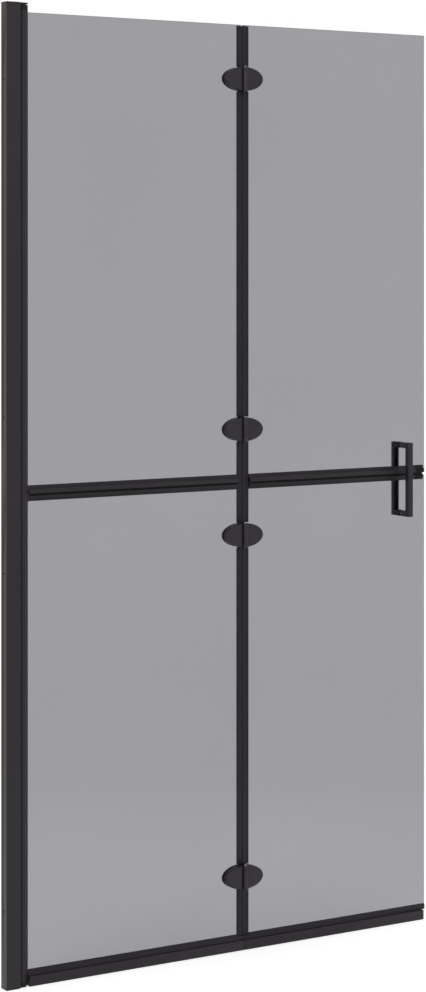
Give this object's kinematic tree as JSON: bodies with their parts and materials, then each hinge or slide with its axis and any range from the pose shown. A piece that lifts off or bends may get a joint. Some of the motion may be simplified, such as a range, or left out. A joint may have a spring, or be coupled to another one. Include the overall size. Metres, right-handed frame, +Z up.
{
  "type": "folding walk-in shower screen",
  "caption": "Tall frameless-edge shower screen of smoked glass with black wall profile, mid rail, folding outer leaf on oval hinges and a square bar handle.",
  "frame": {"origin": "bottom of the wall face, at the middle of the wall profile's depth", "axes": "+X away from the wall along the open screen, -Y the side with the hinge barrels, +Z up"},
  "size_m": [1, 0.065, 1.9],
  "materials": {
    "black_frame": "satin black powder coat on aluminium",
    "black_hardware": "satin black coating on zinc and steel",
    "black_seal": "matt black coated edge strip",
    "tinted_glass": "smoke grey toughened glass, polished edges",
    "black_rubber": "matt black",
    "stainless_steel": "plain stainless",
    "black_plastic": "matt black"
  },
  "bodies": {
    "wall_frame": {"wall_profile_lower": "black_frame", "wall_profile_upper": "black_frame", "adjusting_profile_lower": "black_frame", "adjusting_profile_upper": "black_frame", "splice_plate": "stainless_steel", "splice_screws": "stainless_steel", "adjuster_screws": "stainless_steel", "bottom_bearing_plate": "black_frame", "top_bearing_plate": "black_frame", "bearing_plate_screws": "stainless_steel", "pivot_bushes": "black_plastic"},
    "inner_leaf": {"pivot_profile_lower": "black_frame", "pivot_profile_upper": "black_frame", "bottom_pivot_block": "black_plastic", "top_pivot_block": "black_plastic", "pivot_pins": "stainless_steel", "pivot_coupler": "black_frame", "coupler_screws": "stainless_steel", "pivot_gaskets": "black_rubber", "inner_glass_upper": "tinted_glass", "inner_glass_lower": "tinted_glass", "inner_rail_upper": "black_frame", "inner_rail_lower": "black_frame", "inner_rail_gaskets": "black_rubber", "inner_rail_spline": "black_plastic", "inner_bottom_profile": "black_frame", "inner_bottom_gasket": "black_rubber", "inner_sweep_seal": "black_rubber", "inner_edge_seal": "black_seal", "hinge_1_inner_plate": "black_hardware", "hinge_2_inner_plate": "black_hardware", "hinge_3_inner_plate": "black_hardware", "hinge_4_inner_plate": "black_hardware", "inner_clamp_plates": "black_hardware", "inner_hinge_gaskets": "black_rubber", "inner_hinge_screws": "stainless_steel", "hinge_pins": "stainless_steel"},
    "outer_leaf": {"hinge_1_outer_plate": "black_hardware", "hinge_2_outer_plate": "black_hardware", "hinge_3_outer_plate": "black_hardware", "hinge_4_outer_plate": "black_hardware", "outer_clamp_plates": "black_hardware", "outer_hinge_gaskets": "black_rubber", "outer_hinge_screws": "stainless_steel", "hinge_bushes": "black_plastic", "outer_glass_upper": "tinted_glass", "outer_glass_lower": "tinted_glass", "outer_rail_upper": "black_frame", "outer_rail_lower": "black_frame", "outer_rail_gaskets": "black_rubber", "outer_rail_spline": "black_plastic", "outer_rail_end_cap": "black_plastic", "outer_bottom_profile": "black_frame", "outer_bottom_gasket": "black_rubber", "outer_sweep_seal": "black_rubber", "outer_edge_seal": "black_seal", "handle_front": "black_hardware", "handle_back": "black_hardware", "handle_studs": "stainless_steel", "handle_washers": "black_rubber"}
  },
  "joints": [
    {"name": "wall_pivot", "type": "hinge", "parent": "wall_frame", "child": "inner_leaf", "pos_m": [0.04, 0, 0.95], "axis": [0, 0, 1], "range_deg": [-90, 90]},
    {"name": "fold_hinge", "type": "hinge", "parent": "inner_leaf", "child": "outer_leaf", "pos_m": [0.5405, -0.0153, 0.95], "axis": [0, 0, -1], "range_deg": [0, 177]}
  ]
}
